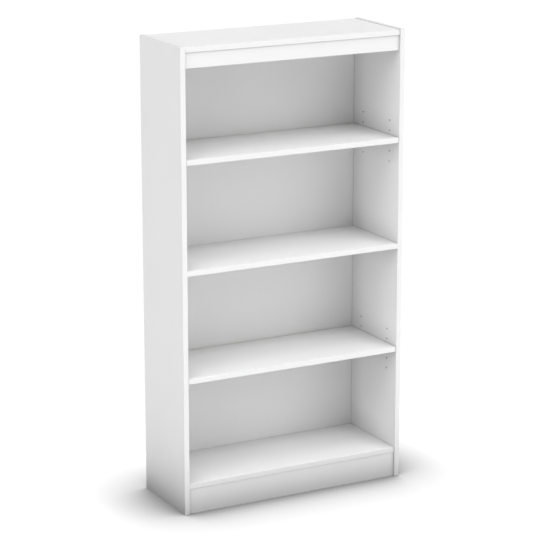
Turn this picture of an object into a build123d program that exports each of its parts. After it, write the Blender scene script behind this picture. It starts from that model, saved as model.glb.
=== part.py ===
"""Flat-pack bookcase of white laminated particleboard, four compartments high.

Frame: +X right, +Z up, the open front faces -Y, and the origin is on the floor
at the middle of the overall box. Millimetres.
"""

import os

from build123d import *

INCH = 25.4

# Overall size
WIDTH = 29.75 * INCH
HEIGHT = 56.25 * INCH
DEPTH = 11 * INCH

# Sheet goods
BOARD = 5 / 8 * INCH  # laminated particleboard
BACK = 3.2  # hardboard back
BAND = 0.5  # plastic edge band
BAND_ROUND = 0.35  # eased long edges of a band

# Levels: five horizontal panels, evenly spaced, standing on the kick plate
OPENING = 12.5 * INCH
LEVELS = 5
KICK_HEIGHT = HEIGHT - LEVELS * BOARD - (LEVELS - 1) * OPENING
PITCH = BOARD + OPENING
BOTTOM, LOWER, MIDDLE, UPPER, TOP = (KICK_HEIGHT + i * PITCH for i in range(LEVELS))
TOP_STEP = 2.0  # top panel below the tops of the sides
TOP_UNDERSIDE = TOP - TOP_STEP

# How far the front of each fixed board lies behind the fronts of the sides
TOP_SETBACK = 4.0
APRON_SETBACK = 7.5
MIDDLE_SETBACK = 0.5
BOTTOM_SETBACK = 5.0
KICK_SETBACK = 6.5

APRON_HEIGHT = 46.5

# Adjustable shelves
END_GAP = 1.3
SHELF_SETBACK = 1.5
SHELF_BACK_GAP = 4.0

# Shelf pins and their rows of holes
PIN_PITCH = 32.0
PIN_ROWS = 5
PIN_INSET = 58.0  # from the front edge, and from the rear edge, of a side
PIN_DROP = 3.5  # hole centre below the shelf that stands on its pin
PIN_HOLE_R = 2.5
PIN_HOLE_DEPTH = 11.0
PIN_R = 2.45
PIN_LENGTH = 9.5
PIN_SLACK = 0.1  # under the shelf
PIN_TOP = PIN_DROP - PIN_SLACK
PIN_COLLAR_R = PIN_TOP - 0.05
PIN_COLLAR = 1.0
SPOON_LENGTH = 9.0
SPOON_WIDTH = 6.4
SPOON_TIP = 1.5  # thickness at the tip
SPOON_HEEL = 3.2  # below the hole centre, where the spoon meets its collar
SPOON_ARC = 11.0  # hollow curve of its underside
SPOON_CORNER = 1.2
PIN_CHAMFER = 0.5

# Cam joints: a bolt in the side is held by a cam in the end of the other board
CAM_R = 7.5
CAM_BORE_DEPTH = 12.5
CAM_REACH = 24.0  # cam centre from the end of its board
CAM_CLEARANCE = 0.05
CAM_HEIGHT = 12.3
CAM_HOLLOW_R = 5.4
CAM_HOLLOW_HEIGHT = 7.2
CAM_RECESS = 7.5  # length of the screwdriver's cross
CAM_RECESS_WIDTH = 1.5
CAM_RECESS_DEPTH = 2.4
BOLT_THREAD_R = 3.0
BOLT_THREAD = 11.0
BOLT_SHANK_R = 3.5
BOLT_SHANK = 14.5
BOLT_NECK_R = 2.2
BOLT_NECK = 20.5  # end of the neck, from the side's face
BOLT_HEAD_R = 3.4
BOLT_LENGTH = 24.8  # from the side's face
BOLT_TAPER = 1.0  # along the axis, at each change of radius
JAW_CLEARANCE = 0.2
HEAD_CLEARANCE = 0.5
BOLT_BORE_R = 4.0
BOLT_HOLE_R = 3.05
BOLT_HOLE_DEPTH = 11.5
DOWEL_R = 3.95
DOWEL_CHAMFER = 1.0
DOWEL_HOLE_R = 4.0
DOWEL_IN_SIDE = 10.0
DOWEL_IN_BOARD = 20.0
HOLE_SPARE = 0.5  # depth left beyond a dowel's end
CAM_Y = 100.0  # cams either side of the middle of a horizontal panel
DOWEL_Y = 68.0
KICK_CAM_Z = 50.0
KICK_DOWEL_Z = 22.0
APRON_CAM_DROP = 31.0  # below the top panel
APRON_DOWEL_DROP = 12.0

# Back panel and its nails
BACK_INSET = 1.5  # from the sides' outer faces, the floor and the top panel's upper face
NAIL_R = 0.7
NAIL_HOLE_R = 0.75
NAIL_LENGTH = 19.0
NAIL_HEAD_R = 2.2
NAIL_HEAD = 0.6
NAIL_HEAD_CLEARANCE = 0.05
NAIL_HOLE_SPARE = 0.2
NAIL_POINT = 0.5
NAILS_UP_SIDE = 10
NAILS_ACROSS = 5
NAIL_END_MARGIN = 40.0

# Planes and places worked out from the sizes above
FRONT = -DEPTH / 2
REAR = DEPTH / 2 - BACK
INNER_X = WIDTH / 2 - BOARD
INNER_WIDTH = 2 * INNER_X
APRON_FRONT = FRONT + APRON_SETBACK
KICK_FRONT = FRONT + KICK_SETBACK
APRON_Y = APRON_FRONT + BOARD / 2  # middle of its thickness
KICK_Y = KICK_FRONT + BOARD / 2
PIN_FRONT_Y = FRONT + PIN_INSET
PIN_REAR_Y = REAR - PIN_INSET
APRON_CAM_Z = TOP_UNDERSIDE - APRON_CAM_DROP
APRON_DOWEL_Z = TOP_UNDERSIDE - APRON_DOWEL_DROP
FIXED_PANELS = {"bottom_shelf": BOTTOM, "middle_fixed_shelf": MIDDLE, "top_panel": TOP_UNDERSIDE}
PANEL_FRONTS = {
    "bottom_shelf": FRONT + BOTTOM_SETBACK,
    "middle_fixed_shelf": FRONT + MIDDLE_SETBACK,
    "top_panel": FRONT + TOP_SETBACK,
}
ADJUSTABLE_SHELVES = {"lower_adjustable_shelf": LOWER, "upper_adjustable_shelf": UPPER}
INNER_FACE = Plane(origin=(-INNER_X, 0, 0), x_dir=(0, 1, 0), z_dir=(1, 0, 0))  # of the left side

os.makedirs("parts", exist_ok=True)


def save(piece, name):
    """Name a finished piece and write it to its own file."""
    piece.part.label = name
    export_step(piece.part, f"parts/{name}.step")


def save_pair(piece, name):
    """Save a left-hand piece and its mirror image on the right."""
    save(piece, f"left_{name}")
    with BuildPart() as twin:
        mirror(piece.part, about=Plane.YZ)
    save(twin, f"right_{name}")


def span(low, high):
    """Length and middle of a stretch."""
    return high - low, (low + high) / 2


# ---------------------------------------------------------------- side panels

core_depth, core_y = span(FRONT + BAND, REAR)
core_height, core_z = span(0, HEIGHT - BAND)
nail_z_span, nail_z = span(NAIL_END_MARGIN, HEIGHT - NAIL_END_MARGIN)
nail_z_step = nail_z_span / (NAILS_UP_SIDE - 1)
side_x = -WIDTH / 2 + BOARD / 2

with BuildPart() as side_panel:
    with BuildSketch(Plane.YZ.offset(-WIDTH / 2)):
        with Locations((core_y, core_z)):
            Rectangle(core_depth, core_height)
    extrude(amount=BOARD)
    # shelf-pin holes: five rows around each adjustable shelf, a front and a rear column
    pin_span, pin_mid = span(PIN_FRONT_Y, PIN_REAR_Y)
    for level in ADJUSTABLE_SHELVES.values():
        with Locations(INNER_FACE):
            with Locations((pin_mid, level - PIN_DROP)):
                with GridLocations(pin_span, PIN_PITCH, 2, PIN_ROWS):
                    Hole(PIN_HOLE_R, depth=PIN_HOLE_DEPTH)
    # cam bolts and dowels of the three fixed horizontal panels
    for level in FIXED_PANELS.values():
        with Locations(INNER_FACE):
            with Locations((0, level + BOARD / 2)):
                with GridLocations(2 * CAM_Y, 1, 2, 1):
                    Hole(BOLT_HOLE_R, depth=BOLT_HOLE_DEPTH)
                with GridLocations(2 * DOWEL_Y, 1, 2, 1):
                    Hole(DOWEL_HOLE_R, depth=DOWEL_IN_SIDE + HOLE_SPARE)
    # cam bolts and dowels of the apron and the kick plate
    with Locations(INNER_FACE):
        with Locations((APRON_Y, APRON_CAM_Z), (KICK_Y, KICK_CAM_Z)):
            Hole(BOLT_HOLE_R, depth=BOLT_HOLE_DEPTH)
        with Locations((APRON_Y, APRON_DOWEL_Z), (KICK_Y, KICK_DOWEL_Z)):
            Hole(DOWEL_HOLE_R, depth=DOWEL_IN_SIDE + HOLE_SPARE)
    # nails of the back panel
    with Locations(Plane(origin=(side_x, REAR, nail_z), x_dir=(1, 0, 0), z_dir=(0, 1, 0))):
        with GridLocations(1, nail_z_step, 1, NAILS_UP_SIDE):
            Hole(NAIL_HOLE_R, depth=NAIL_LENGTH - BACK + NAIL_HOLE_SPARE)
save_pair(side_panel, "side_panel")

band_foot = BAND  # trimmed just clear of the floor
with BuildPart() as side_front_band:
    with BuildSketch(Plane.XY.offset(band_foot)):
        with Locations((side_x, FRONT + BAND / 2)):
            Rectangle(BOARD, BAND)
    extrude(amount=HEIGHT - band_foot)
    fillet(side_front_band.edges().filter_by(Axis.Z).group_by(Axis.Y)[0], BAND_ROUND)
save_pair(side_front_band, "side_front_band")

with BuildPart() as side_top_band:
    with BuildSketch(Plane.XY.offset(HEIGHT - BAND)):
        with Locations((side_x, core_y)):
            Rectangle(BOARD, core_depth)
    extrude(amount=BAND)
    fillet(side_top_band.edges().filter_by(Axis.Y).group_by(Axis.Z)[-1], BAND_ROUND)
save_pair(side_top_band, "side_top_band")


# ---------------------------------------------------- fixed horizontal panels


def front_band(name, width, front, bottom):
    """Band on the front edge of a horizontal board whose underside is at bottom."""
    with BuildPart() as band:
        with BuildSketch(Plane.YZ):
            with Locations((front + BAND / 2, bottom + BOARD / 2)):
                Rectangle(BAND, BOARD)
        extrude(amount=width / 2, both=True)
        fillet(band.edges().filter_by(Axis.X).group_by(Axis.Y)[0], BAND_ROUND)
    save(band, name)


nail_x_step = INNER_WIDTH / NAILS_ACROSS

for name, level in FIXED_PANELS.items():
    panel_depth, panel_y = span(PANEL_FRONTS[name] + BAND, REAR)
    with BuildPart() as panel:
        with BuildSketch(Plane.XY.offset(level)):
            with Locations((0, panel_y)):
                Rectangle(INNER_WIDTH, panel_depth)
        extrude(amount=BOARD)
        # cams open in the underside
        with Locations(Plane(origin=(0, 0, level), x_dir=(1, 0, 0), z_dir=(0, 0, -1))):
            with GridLocations(INNER_WIDTH - 2 * CAM_REACH, 2 * CAM_Y, 2, 2):
                Hole(CAM_R, depth=CAM_BORE_DEPTH)
        for end in (-1, 1):
            end_face = Plane((end * INNER_X, 0, level + BOARD / 2), x_dir=(0, 1, 0), z_dir=(end, 0, 0))
            with Locations(end_face):
                with GridLocations(2 * CAM_Y, 1, 2, 1):
                    Hole(BOLT_BORE_R, depth=CAM_REACH)
                with GridLocations(2 * DOWEL_Y, 1, 2, 1):
                    Hole(DOWEL_HOLE_R, depth=DOWEL_IN_BOARD + HOLE_SPARE)
        with Locations(Plane((0, REAR, level + BOARD / 2), x_dir=(1, 0, 0), z_dir=(0, 1, 0))):
            with GridLocations(nail_x_step, 1, NAILS_ACROSS, 1):
                Hole(NAIL_HOLE_R, depth=NAIL_LENGTH - BACK + NAIL_HOLE_SPARE)
    save(panel, name)
    front_band(f"{name}_front_band", INNER_WIDTH, PANEL_FRONTS[name], level)


# ------------------------------------------------------- adjustable shelves

shelf_front = FRONT + SHELF_SETBACK
shelf_depth, shelf_y = span(shelf_front + BAND, REAR - SHELF_BACK_GAP)
shelf_width = INNER_WIDTH - 2 * END_GAP

for name, level in ADJUSTABLE_SHELVES.items():
    with BuildPart() as shelf:
        with BuildSketch(Plane.XY.offset(level)):
            with Locations((0, shelf_y)):
                Rectangle(shelf_width, shelf_depth)
        extrude(amount=BOARD)
    save(shelf, name)
    front_band(f"{name}_front_band", shelf_width, shelf_front, level)


# ------------------------------------------------------ apron and kick plate


def upright_board(name, front, bottom, top, cam_z, dowel_z):
    """Board on edge between the sides, with its cams in the rear face."""
    height, middle = span(bottom, top)
    board_y = front + BOARD / 2
    with BuildPart() as upright:
        with BuildSketch(Plane.XZ.offset(-front)):
            with Locations((0, middle)):
                Rectangle(INNER_WIDTH, height)
        extrude(amount=-BOARD)
        with Locations(Plane((0, front + BOARD, cam_z), x_dir=(1, 0, 0), z_dir=(0, 1, 0))):
            with GridLocations(INNER_WIDTH - 2 * CAM_REACH, 1, 2, 1):
                Hole(CAM_R, depth=CAM_BORE_DEPTH)
        for end in (-1, 1):
            outward = (end, 0, 0)
            with Locations(Plane((end * INNER_X, board_y, cam_z), z_dir=outward)):
                Hole(BOLT_BORE_R, depth=CAM_REACH)
            with Locations(Plane((end * INNER_X, board_y, dowel_z), z_dir=outward)):
                Hole(DOWEL_HOLE_R, depth=DOWEL_IN_BOARD + HOLE_SPARE)
    save(upright, name)


apron_bottom = TOP_UNDERSIDE - APRON_HEIGHT
upright_board("top_apron", APRON_FRONT, apron_bottom + BAND, TOP_UNDERSIDE, APRON_CAM_Z, APRON_DOWEL_Z)
upright_board("kick_plate", KICK_FRONT, 0, BOTTOM, KICK_CAM_Z, KICK_DOWEL_Z)

with BuildPart() as apron_band:
    with BuildSketch(Plane.YZ):
        with Locations((APRON_Y, apron_bottom + BAND / 2)):
            Rectangle(BOARD, BAND)
    extrude(amount=INNER_X, both=True)
    fillet(apron_band.edges().filter_by(Axis.X).group_by(Axis.Z)[0], BAND_ROUND)
save(apron_band, "top_apron_lower_band")


# ------------------------------------------------------- cams, bolts, dowels
#
# Each is drawn in the frame of its joint: origin in the side's inner face, X into
# the board that the side carries, Z away from the face in which the cam opens.

mouth_z = -BOARD / 2
jaw_width = 2 * (BOLT_NECK_R + JAW_CLEARANCE)

with BuildPart() as cam:
    with BuildSketch(Plane.XY.offset(mouth_z)):
        with Locations((CAM_REACH, 0)):
            Circle(CAM_R - CAM_CLEARANCE)
    extrude(amount=CAM_HEIGHT)
    # hollow for the bolt's head
    with BuildSketch(Plane.XY):
        with Locations((CAM_REACH, 0)):
            Circle(CAM_HOLLOW_R)
    extrude(amount=CAM_HOLLOW_HEIGHT / 2, both=True, mode=Mode.SUBTRACT)
    # jaw for the bolt's neck, and the round hole by which the head went in
    with BuildSketch(Plane.YZ.offset(CAM_REACH - CAM_R)):
        Rectangle(jaw_width, jaw_width)
    extrude(amount=CAM_R, mode=Mode.SUBTRACT)
    with BuildSketch(Plane((CAM_REACH, 0, 0), x_dir=(0, 0, 1), z_dir=(0, 1, 0))):
        Circle(BOLT_HEAD_R + HEAD_CLEARANCE)
    extrude(amount=CAM_R, mode=Mode.SUBTRACT)
    # cross recess for the screwdriver
    with BuildSketch(Plane.XY.offset(mouth_z)):
        with Locations((CAM_REACH, 0)):
            Rectangle(CAM_RECESS, CAM_RECESS_WIDTH)
            Rectangle(CAM_RECESS_WIDTH, CAM_RECESS)
    extrude(amount=CAM_RECESS_DEPTH, mode=Mode.SUBTRACT)

with BuildPart() as bolt:
    with BuildSketch(Plane.XZ):
        with BuildLine():
            Polyline(
                (-BOLT_THREAD, 0),
                (-BOLT_THREAD, BOLT_THREAD_R - BOLT_TAPER),
                (BOLT_TAPER - BOLT_THREAD, BOLT_THREAD_R),
                (0, BOLT_THREAD_R),
                (0, BOLT_SHANK_R),
                (BOLT_SHANK, BOLT_SHANK_R),
                (BOLT_SHANK + BOLT_TAPER, BOLT_NECK_R),
                (BOLT_NECK, BOLT_NECK_R),
                (BOLT_NECK + BOLT_TAPER, BOLT_HEAD_R),
                (BOLT_LENGTH - BOLT_TAPER, BOLT_HEAD_R),
                (BOLT_LENGTH, BOLT_HEAD_R - BOLT_TAPER),
                (BOLT_LENGTH, 0),
                close=True,
            )
        make_face()
    revolve(axis=Axis.X)

with BuildPart() as dowel:
    with BuildSketch(Plane.YZ.offset(-DOWEL_IN_SIDE)):
        Circle(DOWEL_R)
    extrude(amount=DOWEL_IN_SIDE + DOWEL_IN_BOARD)
    chamfer(dowel.edges().filter_by(GeomType.CIRCLE), DOWEL_CHAMFER)


def save_hardware(piece, name, places, z_dir):
    """Save copies of a joint's piece at the left ends of a board, and mirrored at its right ends."""
    joint_planes = [Plane((-INNER_X, y, z), x_dir=(1, 0, 0), z_dir=z_dir) for y, z in places]
    with BuildPart() as group:
        with Locations(*joint_planes):
            add(piece.part)
        mirror(about=Plane.YZ)
    save(group, name)


UP = (0, 0, 1)
FORWARD = (0, -1, 0)

for name, level in FIXED_PANELS.items():
    cam_places = [(y, level + BOARD / 2) for y in (-CAM_Y, CAM_Y)]
    dowel_places = [(y, level + BOARD / 2) for y in (-DOWEL_Y, DOWEL_Y)]
    save_hardware(cam, f"{name}_cams", cam_places, UP)
    save_hardware(bolt, f"{name}_cam_bolts", cam_places, UP)
    save_hardware(dowel, f"{name}_dowels", dowel_places, UP)

for name, board_y, cam_z, dowel_z in (
    ("top_apron", APRON_Y, APRON_CAM_Z, APRON_DOWEL_Z),
    ("kick_plate", KICK_Y, KICK_CAM_Z, KICK_DOWEL_Z),
):
    save_hardware(cam, f"{name}_cams", [(board_y, cam_z)], FORWARD)
    save_hardware(bolt, f"{name}_cam_bolts", [(board_y, cam_z)], FORWARD)
    save_hardware(dowel, f"{name}_dowels", [(board_y, dowel_z)], FORWARD)


# --------------------------------------------------------------- shelf pins
#
# Drawn with the origin at the mouth of its hole, X into the compartment.

with BuildPart() as pin:
    with BuildSketch(Plane.XZ):
        with BuildLine():
            top = Polyline((0, PIN_TOP), (SPOON_LENGTH, PIN_TOP), (SPOON_LENGTH, PIN_TOP - SPOON_TIP))
            heel = Polyline((PIN_COLLAR, -SPOON_HEEL), (0, -SPOON_HEEL), (0, PIN_TOP))
            RadiusArc(top @ 1, heel @ 0, SPOON_ARC)
        make_face()
    extrude(amount=SPOON_WIDTH / 2, both=True)
    fillet(pin.edges().filter_by(Axis.Z).group_by(Axis.X)[-1], SPOON_CORNER)
    with BuildSketch(Plane.YZ):
        Circle(PIN_COLLAR_R)
    extrude(amount=PIN_COLLAR)
    with BuildSketch(Plane.YZ):
        Circle(PIN_R)
    extrude(amount=-PIN_LENGTH)
    chamfer(pin.faces().sort_by(Axis.X)[0].edges(), PIN_CHAMFER)

for name, level in (("lower", LOWER), ("upper", UPPER)):
    for place, y in (("front", PIN_FRONT_Y), ("rear", PIN_REAR_Y)):
        with BuildPart() as placed_pin:
            with Locations((-INNER_X, y, level - PIN_DROP)):
                add(pin.part)
        save_pair(placed_pin, f"{name}_{place}_shelf_pin")


# ------------------------------------------------------- back panel and nails

rear_plane = Plane((0, REAR + BACK, 0), x_dir=(-1, 0, 0), z_dir=(0, 1, 0))
side_rows = [
    (x, NAIL_END_MARGIN + i * nail_z_step) for x in (-side_x, side_x) for i in range(NAILS_UP_SIDE)
]
across_rows = [
    ((i - (NAILS_ACROSS - 1) / 2) * nail_x_step, level + BOARD / 2)
    for level in FIXED_PANELS.values()
    for i in range(NAILS_ACROSS)
]

back_height, back_z = span(BACK_INSET, TOP_UNDERSIDE + BOARD - BACK_INSET)
with BuildPart() as back_panel:
    with BuildSketch(Plane.XZ.offset(-REAR)):
        with Locations((0, back_z)):
            Rectangle(WIDTH - 2 * BACK_INSET, back_height)
    extrude(amount=-BACK)
    with Locations(rear_plane):
        with Locations(*side_rows, *across_rows):
            CounterBoreHole(NAIL_HOLE_R, NAIL_HEAD_R + NAIL_HEAD_CLEARANCE, NAIL_HEAD)
save(back_panel, "back_panel")

with BuildPart() as nail:
    with BuildSketch(Plane.XY):
        Circle(NAIL_HEAD_R)
    extrude(amount=-NAIL_HEAD)
    with BuildSketch(Plane.XY.offset(-NAIL_HEAD)):
        Circle(NAIL_R)
    extrude(amount=NAIL_HEAD - NAIL_LENGTH)
    chamfer(nail.faces().sort_by(Axis.Z)[0].edges(), NAIL_POINT)

with BuildPart() as nails:
    with Locations(rear_plane):
        with Locations(*side_rows, *across_rows):
            add(nail.part)
save(nails, "back_panel_nails")
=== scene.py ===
"""Looks for a white laminated bookcase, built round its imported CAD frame. Metres, +Z up."""

import math

import bpy
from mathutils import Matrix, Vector


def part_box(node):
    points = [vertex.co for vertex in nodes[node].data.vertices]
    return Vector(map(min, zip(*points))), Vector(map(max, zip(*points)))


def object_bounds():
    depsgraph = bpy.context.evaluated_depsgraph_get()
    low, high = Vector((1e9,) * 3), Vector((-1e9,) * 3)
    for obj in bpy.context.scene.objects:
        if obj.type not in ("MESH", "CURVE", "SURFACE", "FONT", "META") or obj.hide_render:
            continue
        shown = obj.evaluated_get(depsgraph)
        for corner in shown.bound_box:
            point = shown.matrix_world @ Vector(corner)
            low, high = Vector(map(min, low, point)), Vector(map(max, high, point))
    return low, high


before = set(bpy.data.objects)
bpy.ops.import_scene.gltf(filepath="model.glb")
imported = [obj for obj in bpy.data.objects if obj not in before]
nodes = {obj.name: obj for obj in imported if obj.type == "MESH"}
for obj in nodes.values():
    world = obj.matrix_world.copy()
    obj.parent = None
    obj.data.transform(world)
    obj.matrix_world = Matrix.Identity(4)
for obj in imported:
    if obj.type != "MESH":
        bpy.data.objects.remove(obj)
cad_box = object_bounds()

MM = 0.001
NEAR = 0.02 * MM  # how close a face lies to the plane that it belongs to
SQUARE = 0.99  # the least part of a flat face's normal that lies along its axis
X, Y, Z = 0, 1, 2


# ------------------------------------------------------------ shader helpers


class Nodes:
    """A node tree, with short ways to add and link its nodes."""

    def __init__(self, tree):
        self.tree = tree

    def node(self, kind, **settings):
        made = self.tree.nodes.new(kind)
        for key, value in settings.items():
            setattr(made, key, value)
        return made

    def link(self, source, target):
        self.tree.links.new(source, target)

    def put(self, socket, value):
        """Give a socket a constant, or link another node's output to it."""
        if isinstance(value, bpy.types.NodeSocket):
            self.link(value, socket)
        else:
            socket.default_value = value

    def ranged(self, value, low, high, to_low=0.0, to_high=1.0):
        """A value mapped from one range to another, and kept inside it."""
        mapped = self.node("ShaderNodeMapRange")
        self.link(value, mapped.inputs["Value"])
        mapped.inputs["From Min"].default_value = low
        mapped.inputs["From Max"].default_value = high
        mapped.inputs["To Min"].default_value = to_low
        mapped.inputs["To Max"].default_value = to_high
        return mapped.outputs["Result"]

    def math(self, operation, first, second):
        made = self.node("ShaderNodeMath", operation=operation)
        self.put(made.inputs[0], first)
        self.put(made.inputs[1], second)
        return made.outputs["Value"]

    def vector_math(self, operation, first, second=None):
        """A vector operation on one or two vectors."""
        made = self.node("ShaderNodeVectorMath", operation=operation)
        self.link(first, made.inputs[0])
        if second is not None:
            self.put(made.inputs[1], second)
        return made.outputs["Value" if operation in ("LENGTH", "DOT_PRODUCT") else "Vector"]

    def openness(self, reach, samples):
        """1 in the open, and less where other surfaces stand within this reach."""
        shelter = self.node("ShaderNodeAmbientOcclusion", samples=samples)
        shelter.inputs["Distance"].default_value = reach
        return shelter.outputs["AO"]


class Surface(Nodes):
    """A material with a Principled shader, patterned in object coordinates."""

    def __init__(self, name, metallic=0.0, specular=0.5):
        self.material = bpy.data.materials.new(name)
        self.material.use_nodes = True
        super().__init__(self.material.node_tree)
        self.principled = self.tree.nodes["Principled BSDF"]
        self.principled.inputs["Metallic"].default_value = metallic
        self.principled.inputs["Specular IOR Level"].default_value = specular
        self.place = self.node("ShaderNodeTexCoord").outputs["Object"]

    def stretched(self, scale):
        """Object coordinates with each axis scaled on its own."""
        mapping = self.node("ShaderNodeMapping")
        mapping.inputs["Scale"].default_value = scale
        self.link(self.place, mapping.inputs["Vector"])
        return mapping.outputs["Vector"]

    def noise(self, scale, detail, roughness=0.5, where=None):
        """Noise from 0 to 1, at so many cycles a metre."""
        texture = self.node("ShaderNodeTexNoise")
        texture.inputs["Scale"].default_value = scale
        texture.inputs["Detail"].default_value = detail
        texture.inputs["Roughness"].default_value = roughness
        self.link(where or self.place, texture.inputs["Vector"])
        return texture.outputs["Fac"]

    def cells(self, scale, feature="F1", output="Distance"):
        """Voronoi cells, at so many a metre."""
        texture = self.node("ShaderNodeTexVoronoi", feature=feature)
        texture.inputs["Scale"].default_value = scale
        self.link(self.place, texture.inputs["Vector"])
        return texture.outputs[output]

    def mixed(self, factor, first, second):
        """Two colours mixed by a factor. A colour Mix node takes them in its sockets 6 and 7."""
        mix = self.node("ShaderNodeMix", data_type="RGBA")
        self.put(mix.inputs["Factor"], factor)
        self.put(mix.inputs[6], first)
        self.put(mix.inputs[7], second)
        return mix.outputs[2]

    def drifting(self, scale, low, high):
        """Two greys that drift slowly into each other."""
        return self.mixed(self.ranged(self.noise(scale, detail=2), 0.3, 0.7), grey(low), grey(high))

    def bump(self, height, strength, distance, under=None):
        """A bump over an optional earlier one. Its result is a normal."""
        made = self.node("ShaderNodeBump")
        made.inputs["Strength"].default_value = strength
        made.inputs["Distance"].default_value = distance
        self.link(height, made.inputs["Height"])
        if under is not None:
            self.link(under, made.inputs["Normal"])
        return made.outputs["Normal"]

    def crease_shade_and_dust(self, colour, reach, shade, samples=8):
        """A colour darkened to about this shade of itself in corners and seams: painted shade, with dust
        as well where the reach is a few millimetres.
        """
        # Painted shade: darker where ambient occlusion finds other surfaces within the reach.
        shade_and_dust_mask = self.ranged(self.openness(reach, samples), 0.45, 0.95, 1.0 - shade, 0.0)
        return self.mixed(shade_and_dust_mask, colour, SHADE_AND_DUST)

    def edges(self, width):
        """1 along the convex edges of a board, within this width, and 0 elsewhere."""
        rounded = self.node("ShaderNodeBevel", samples=6)
        rounded.inputs["Radius"].default_value = width
        flat = self.node("ShaderNodeNewGeometry")
        turn = self.vector_math("DOT_PRODUCT", rounded.outputs["Normal"], flat.outputs["Normal"])
        return self.ranged(turn, 0.80, 0.99, 1.0, 0.0)

    def finish(self, colour, roughness, normal):
        self.put(self.principled.inputs["Base Color"], colour)
        self.put(self.principled.inputs["Roughness"], roughness)
        self.link(normal, self.principled.inputs["Normal"])
        return self.material


def grey(level):
    return (level, level, level, 1)


# ------------------------------------------------------------------ materials

# Painted shade and dust: the dark colour that corners and seams are mixed towards.
SHADE_AND_DUST = (0.05, 0.048, 0.045, 1)
SPECK = (0.55, 0.53, 0.50, 1)
WORN_PAPER = (0.56, 0.51, 0.45, 1)
WORN_PLASTIC = (0.60, 0.57, 0.52, 1)
CHIP_BARK = (0.22, 0.13, 0.07, 1)
CHIP_FIBRE = (0.36, 0.24, 0.13, 1)
CHIP_PORE = (0.16, 0.10, 0.06, 1)
SAWN_LIGHT = (0.74, 0.60, 0.41, 1)
SAWN_DARK = (0.52, 0.37, 0.21, 1)
# Hole walls: far darker than sawn particleboard, a painted shade inside holes and bores.
HOLE_SHADED_PALE = (0.24, 0.19, 0.14, 1)
HOLE_SHADED_DEEP = (0.13, 0.10, 0.07, 1)
FELT_DARK = (0.355, 0.245, 0.155, 1)
FELT_LIGHT = (0.395, 0.275, 0.18, 1)
FELT_STRAND = (0.49, 0.365, 0.24, 1)
FELT_PIT = (0.21, 0.14, 0.09, 1)
BEECH_PALE = (0.74, 0.57, 0.38, 1)
BEECH_RAY = (0.55, 0.38, 0.22, 1)
ZINC_BRIGHT = (0.60, 0.61, 0.63, 1)
ZINC_DULL = (0.47, 0.48, 0.50, 1)
NICKEL_BRIGHT = (0.74, 0.73, 0.70, 1)
NICKEL_DULL = (0.66, 0.65, 0.62, 1)
GALVANISED_BRIGHT = (0.63, 0.64, 0.66, 1)
GALVANISED_DULL = (0.50, 0.51, 0.53, 1)


def white_melamine():
    """Melamine paper pressed on board: even satin white, finely pearled, rubbed at its cut edges.

    Dust and painted shade darken its seams, and a wider, weaker painted shade its inner corners.
    """
    s = Surface("white_melamine", specular=0.42)
    pearl = s.noise(650, detail=3, roughness=0.55)
    flake = s.cells(900, feature="SMOOTH_F1")
    handling = s.noise(16, detail=4, roughness=0.6)
    colour = s.drifting(4.5, 0.845, 0.865)
    colour = s.mixed(s.ranged(s.cells(150), 0.0, 0.06, 0.25, 0.0), colour, SPECK)
    patches = s.ranged(s.noise(130, detail=3), 0.4, 0.65, 0.15, 0.7)
    colour = s.mixed(s.math("MULTIPLY", s.edges(0.5 * MM), patches), colour, WORN_PAPER)
    # Painted shade and dust in seams, within 5 mm of other surfaces.
    colour = s.crease_shade_and_dust(colour, 5 * MM, 0.78)
    # Painted shade in inner corners, within 80 mm, far more than dust would give.
    colour = s.crease_shade_and_dust(colour, 80 * MM, 0.80, samples=4)
    rough = s.ranged(s.math("ADD", pearl, s.math("MULTIPLY", handling, 0.5)), 0.5, 1.0, 0.36, 0.50)
    normal = s.bump(pearl, 0.35, 0.12 * MM)
    normal = s.bump(flake, 0.12, 0.08 * MM, under=normal)
    return s.finish(colour, rough, normal)


def white_edge_band():
    """Plastic band: a little glossier than the board, with scraper chatter and a rubbed edge."""
    s = Surface("white_edge_band", specular=0.46)
    chatter = s.noise(420, detail=2)
    orange_peel = s.noise(1500, detail=1)
    colour = s.drifting(7, 0.85, 0.87)
    patches = s.ranged(s.noise(90, detail=3), 0.45, 0.7, 0.0, 0.5)
    colour = s.mixed(s.math("MULTIPLY", s.edges(0.25 * MM), patches), colour, WORN_PLASTIC)
    # Painted shade and dust in seams, within 5 mm of other surfaces.
    colour = s.crease_shade_and_dust(colour, 5 * MM, 0.78)
    rough = s.ranged(chatter, 0.3, 0.7, 0.30, 0.40)
    normal = s.bump(chatter, 0.25, 0.08 * MM)
    normal = s.bump(orange_peel, 0.15, 0.03 * MM, under=normal)
    return s.finish(colour, rough, normal)


def particleboard(name, light, dark):
    """Bare particleboard: pressed wood chips of several browns, with open pores between them."""
    s = Surface(name, specular=0.2)
    chip = s.node("ShaderNodeSeparateColor")
    s.link(s.cells(420, output="Color"), chip.inputs["Color"])
    fibre = s.noise(1400, detail=3)
    solid = s.ranged(s.cells(420, feature="DISTANCE_TO_EDGE"), 0.0, 0.12)
    colour = s.mixed(chip.outputs["Red"], dark, light)
    colour = s.mixed(s.ranged(chip.outputs["Green"], 0.86, 0.90, 0.0, 0.6), colour, CHIP_BARK)
    colour = s.mixed(s.ranged(fibre, 0.35, 0.75, 0.0, 0.35), colour, CHIP_FIBRE)
    colour = s.mixed(s.ranged(solid, 0.0, 1.0, 0.45, 0.0), colour, CHIP_PORE)
    normal = s.bump(solid, 0.7, 0.4 * MM)
    normal = s.bump(fibre, 0.4, 0.2 * MM, under=normal)
    return s.finish(colour, 0.85, normal)


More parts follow.
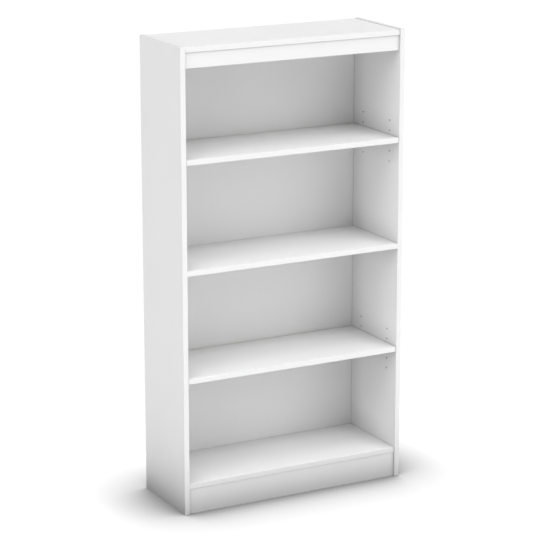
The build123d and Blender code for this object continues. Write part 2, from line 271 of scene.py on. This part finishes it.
def raw_hardboard():
    """Rear of the hardboard: brown felted wood fibre with longer, paler strands."""
    s = Surface("raw_hardboard", specular=0.25)
    felt = s.noise(900, detail=4, roughness=0.65)
    cloud = s.noise(11, detail=3)
    strands = s.noise(160, detail=3, where=s.stretched((1.0, 1.0, 6.0)))
    colour = s.mixed(s.ranged(cloud, 0.25, 0.75), FELT_DARK, FELT_LIGHT)
    colour = s.mixed(s.ranged(strands, 0.45, 0.75, 0.0, 0.5), colour, FELT_STRAND)
    colour = s.mixed(s.ranged(felt, 0.5, 0.8, 0.0, 0.5), colour, FELT_PIT)
    return s.finish(colour, s.ranged(felt, 0.3, 0.7, 0.62, 0.8), s.bump(felt, 0.5, 0.25 * MM))


def white_hardboard():
    """Painted front of the hardboard: thin flat white over fibre that shows faintly."""
    s = Surface("white_hardboard", specular=0.35)
    felt = s.noise(700, detail=3, roughness=0.6)
    # Painted shade and dust in seams, within 4 mm of other surfaces.
    colour = s.crease_shade_and_dust(s.drifting(5, 0.82, 0.84), 4 * MM, 0.85)
    return s.finish(colour, s.ranged(felt, 0.3, 0.7, 0.48, 0.6), s.bump(felt, 0.3, 0.15 * MM))


def metal(name, bright, dull, smooth, rough, grain, bump_depth):
    """Plated or cast metal, mottled at the given grain, from smooth to rough."""
    s = Surface(name, metallic=1.0)
    mottle = s.noise(grain, detail=3)
    colour = s.mixed(s.ranged(s.noise(140, detail=2), 0.35, 0.7), bright, dull)
    return s.finish(colour, s.ranged(mottle, 0.3, 0.7, smooth, rough), s.bump(mottle, 0.4, bump_depth))


def beech():
    """Dowel beech: pale, with dark rays along the grain, which runs along X."""
    s = Surface("beech", specular=0.3)
    rays = s.noise(900, detail=2, where=s.stretched((0.12, 1.0, 1.0)))
    colour = s.mixed(s.ranged(rays, 0.4, 0.7), BEECH_PALE, BEECH_RAY)
    return s.finish(colour, 0.6, s.bump(rays, 0.4, 0.2 * MM))


MELAMINE = white_melamine()
BAND = white_edge_band()
SAWN = particleboard("sawn_particleboard", SAWN_LIGHT, SAWN_DARK)
# Particleboard darkened as painted shade, for the walls of holes and bores.
DRILLED_SHADED = particleboard("drilled_particleboard_painted_shade", HOLE_SHADED_PALE, HOLE_SHADED_DEEP)
HARDBOARD_REAR = raw_hardboard()
HARDBOARD_FRONT = white_hardboard()
ZINC = metal("cast_zinc", ZINC_BRIGHT, ZINC_DULL, 0.34, 0.5, 1600, 0.06 * MM)
NICKEL = metal("nickel_plate", NICKEL_BRIGHT, NICKEL_DULL, 0.16, 0.28, 900, 0.02 * MM)
GALVANISED = metal("galvanised", GALVANISED_BRIGHT, GALVANISED_DULL, 0.3, 0.45, 1100, 0.04 * MM)
BEECH = beech()


# ------------------------------------------------------- materials on the CAD


def wear(obj, *materials):
    """Put these materials in the object's slots, in order."""
    obj.data.materials.clear()
    for material in materials:
        obj.data.materials.append(material)


def laminate_board(name):
    """Melamine on a board's two broad faces, sawn particleboard on its edges, and darkened particleboard
    in its holes, a painted shade.
    """
    obj = nodes[name]
    low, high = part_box(name)
    size = high - low
    thin = min((X, Y, Z), key=lambda axis: size[axis])
    melamine, sawn, shaded_hole = 0, 1, 2
    wear(obj, MELAMINE, SAWN, DRILLED_SHADED)
    for polygon in obj.data.polygons:
        axis = max((X, Y, Z), key=lambda a: abs(polygon.normal[a]))
        outside = (high if polygon.normal[axis] > 0 else low)[axis]
        # Faces in holes and bores take the darkened particleboard: painted shade.
        if abs(polygon.normal[axis]) <= SQUARE or abs(polygon.center[axis] - outside) >= NEAR:
            polygon.material_index = shaded_hole
        else:
            polygon.material_index = melamine if axis == thin else sawn


def back_board(name):
    """White paint on the front of the back panel, bare fibre elsewhere."""
    obj = nodes[name]
    low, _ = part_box(name)
    painted, bare = 0, 1
    wear(obj, HARDBOARD_FRONT, HARDBOARD_REAR)
    for polygon in obj.data.polygons:
        in_front = polygon.normal[Y] < -SQUARE and abs(polygon.center[Y] - low[Y]) < NEAR
        polygon.material_index = painted if in_front else bare


BY_ENDING = {
    "_band": BAND,
    "_cams": ZINC,
    "_cam_bolts": NICKEL,
    "_shelf_pin": NICKEL,
    "_dowels": BEECH,
    "_nails": GALVANISED,
}

for node_name, node in nodes.items():
    ending = next((e for e in BY_ENDING if node_name.endswith(e)), None)
    if ending:
        wear(node, BY_ENDING[ending])
    elif node_name == "back_panel":
        back_board(node_name)
    else:
        laminate_board(node_name)


# ---------------------------------------------------------- stage and lights

FLOOR_WIDTH = 160
FLOOR_WHITE = 1.04
SKY_WHITE = 1.05
SKY_GLOW = 0.05
DIM_MARGIN = (0.05, 0.26)  # from the case, where the floor starts to glow and glows in full
SHADOW_REACH = 0.22
SHADOW_LEVEL = 0.26


class Floor(Nodes):
    """Pale floor that glows like a light table, but for a dim margin round the case."""

    def __init__(self):
        bpy.ops.mesh.primitive_plane_add(size=FLOOR_WIDTH)
        plane = bpy.context.object
        plane.name = "floor"
        material = bpy.data.materials.new("pale_floor")
        material.use_nodes = True
        super().__init__(material.node_tree)
        self.tree.nodes.clear()
        ray = self.node("ShaderNodeLightPath")
        side = self.node("ShaderNodeNewGeometry")
        clear = self.node("ShaderNodeBsdfTransparent").outputs["BSDF"]
        above = self.chosen(ray.outputs["Is Camera Ray"], self.lent(), self.seen())
        surface = self.chosen(side.outputs["Backfacing"], above, clear)
        output = self.node("ShaderNodeOutputMaterial")
        self.link(surface, output.inputs["Surface"])
        plane.data.materials.append(material)

    def glow(self, strength):
        made = self.node("ShaderNodeEmission")
        self.link(strength, made.inputs["Strength"])
        return made.outputs["Emission"]

    def chosen(self, factor, first, second):
        """The first shader where the factor is 0, and the second where it is 1."""
        mix = self.node("ShaderNodeMixShader")
        for socket, source in zip(mix.inputs, (factor, first, second)):
            self.link(source, socket)
        return mix.outputs["Shader"]

    def lent(self):
        """The light that the floor gives, less near the case's outline on it."""
        place = self.node("ShaderNodeNewGeometry").outputs["Position"]
        beyond = self.vector_math("ABSOLUTE", place)
        beyond = self.vector_math("SUBTRACT", beyond, (cad_box[1].x, cad_box[1].y, 1))
        beyond = self.vector_math("MAXIMUM", beyond, (0, 0, 0))
        distance = self.vector_math("LENGTH", beyond)
        return self.glow(self.ranged(distance, *DIM_MARGIN, 0.0, FLOOR_WHITE))

    def seen(self):
        """What the camera sees: white, with a painted soft shadow close round what stands on it, darker
        where the floor is less open.
        """
        open_sky = self.openness(SHADOW_REACH, samples=16)
        return self.glow(self.ranged(open_sky, 0.5, 1.0, SHADOW_LEVEL, FLOOR_WHITE))


def sky():
    """Faint even light from all round, white to the camera."""
    world = bpy.data.worlds.new("studio")
    bpy.context.scene.world = world
    world.use_nodes = True
    s = Nodes(world.node_tree)
    background = s.tree.nodes["Background"]
    background.inputs["Color"].default_value = grey(1.0)
    ray = s.node("ShaderNodeLightPath")
    strength = s.ranged(ray.outputs["Is Camera Ray"], 0.0, 1.0, SKY_GLOW, SKY_WHITE)
    s.link(strength, background.inputs["Strength"])


def soft_light(name, azimuth, elevation, spread, strength):
    """Distant soft light. Azimuth 0 shines on the front, and 90 on the right side. Degrees."""
    light = bpy.data.lights.new(name, "SUN")
    light.angle = math.radians(spread)
    light.energy = strength
    lamp = bpy.data.objects.new(name, light)
    turn, rise = math.radians(azimuth), math.radians(elevation)
    towards = Vector((math.sin(turn) * math.cos(rise), -math.cos(turn) * math.cos(rise), math.sin(rise)))
    lamp.rotation_euler = towards.to_track_quat("Z", "Y").to_euler()
    bpy.context.scene.collection.objects.link(lamp)


Floor()
sky()
soft_light("key_right", azimuth=45, elevation=62, spread=45, strength=0.97)
soft_light("key_left", azimuth=-45, elevation=62, spread=45, strength=0.72)
soft_light("front_right", azimuth=30, elevation=35, spread=50, strength=0.68)
soft_light("low_right", azimuth=30, elevation=12, spread=40, strength=0.38)
soft_light("side_left", azimuth=-60, elevation=35, spread=50, strength=1.02)
soft_light("top_rear", azimuth=180, elevation=62, spread=45, strength=1.22)


# -------------------------------------------------------------------- camera

AZIMUTH = math.radians(28.256)
ELEVATION = math.radians(14.816)
FROM_MIDDLE = Vector((-3.1301, -5.8351, 1.7114))  # where the camera stands from the middle of the case
SENSOR_MM = 36
LENS_MM = 145.40
FARTHEST = 200

middle = (cad_box[0] + cad_box[1]) / 2
camera_data = bpy.data.cameras.new("camera")
camera_data.sensor_width = SENSOR_MM
camera_data.lens = LENS_MM
camera_data.clip_end = FARTHEST
camera = bpy.data.objects.new("camera", camera_data)
camera.location = middle + FROM_MIDDLE
camera.rotation_euler = (math.pi / 2 - ELEVATION, 0, -AZIMUTH)
bpy.context.scene.collection.objects.link(camera)
bpy.context.scene.camera = camera
bpy.context.scene.view_settings.view_transform = "Standard"
